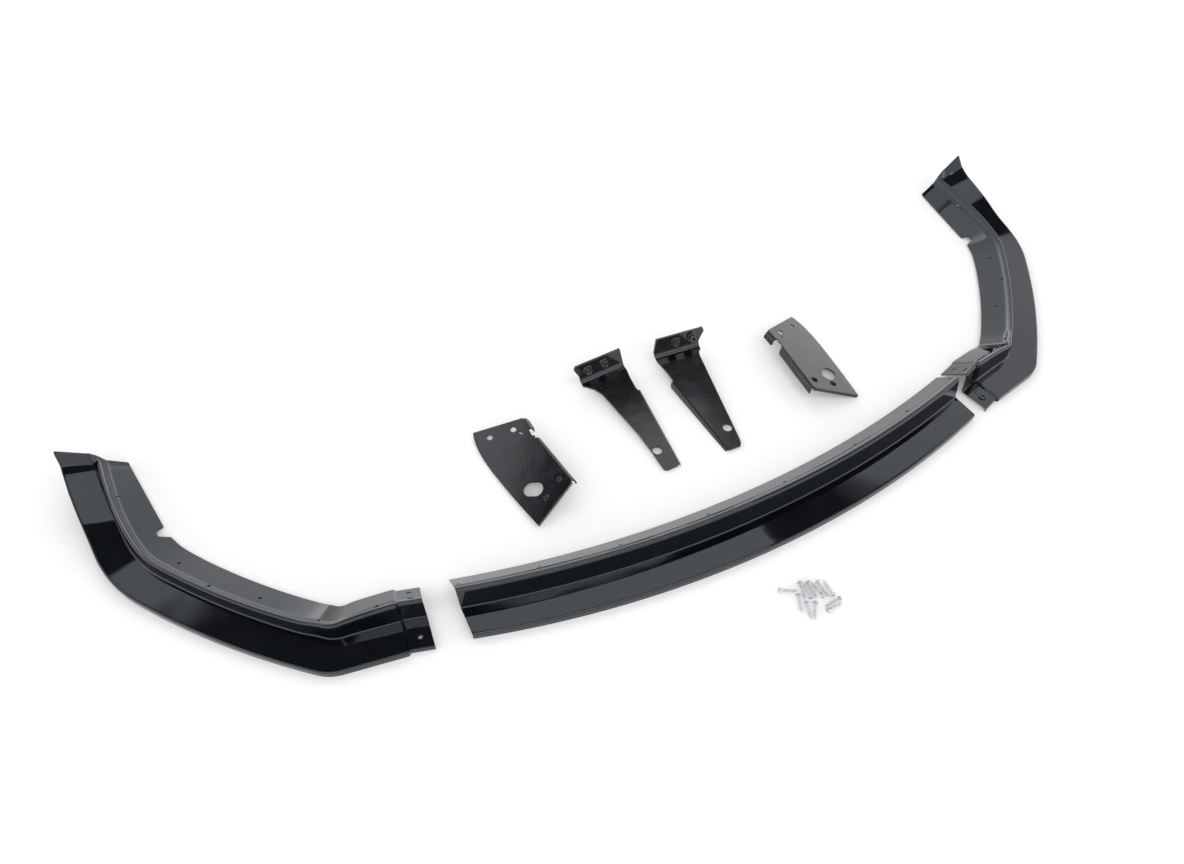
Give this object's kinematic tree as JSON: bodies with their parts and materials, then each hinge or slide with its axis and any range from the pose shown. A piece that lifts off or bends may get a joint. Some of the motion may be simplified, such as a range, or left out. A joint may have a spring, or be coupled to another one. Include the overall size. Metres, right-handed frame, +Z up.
{
  "type": "front splitter lip",
  "caption": "Gloss black front splitter lip for a car, in sections with stepped joint tabs and turned-up wheel-arch ends, laid out with its support brackets and fixing screws.",
  "frame": {"origin": "the middle of the laid-out set, at floor level", "axes": "+X runs across the car towards the right-hand section, +Y towards the car's rear, +Z up from the floor that every piece lies on"},
  "size_m": [1.9411, 0.7904, 0.0803],
  "materials": {
    "gloss_black_plastic": "high gloss, moulded and lacquered",
    "black_painted_steel": "gloss black powder coat",
    "dark_plated_steel": "dark plated",
    "zinc_plated_steel": "bright zinc"
  },
  "bodies": {
    "root": {"lip_centre": "gloss_black_plastic", "lip_left": "gloss_black_plastic", "lip_right": "gloss_black_plastic", "plate_left": "black_painted_steel", "plate_right": "black_painted_steel", "arm_left": "black_painted_steel", "arm_right": "black_painted_steel", "plate_nut_left_1": "dark_plated_steel", "plate_nut_left_2": "dark_plated_steel", "plate_nut_right_1": "dark_plated_steel", "plate_nut_right_2": "dark_plated_steel", "arm_nut_left_1": "dark_plated_steel", "arm_nut_left_2": "dark_plated_steel", "arm_nut_right_1": "dark_plated_steel", "arm_nut_right_2": "dark_plated_steel", "screw_1": "zinc_plated_steel", "screw_2": "zinc_plated_steel", "screw_3": "zinc_plated_steel", "screw_4": "zinc_plated_steel", "screw_5": "zinc_plated_steel", "screw_6": "zinc_plated_steel", "screw_7": "zinc_plated_steel", "screw_8": "zinc_plated_steel", "screw_9": "zinc_plated_steel", "screw_10": "zinc_plated_steel", "screw_11": "zinc_plated_steel", "screw_12": "zinc_plated_steel"}
  },
  "joints": []
}
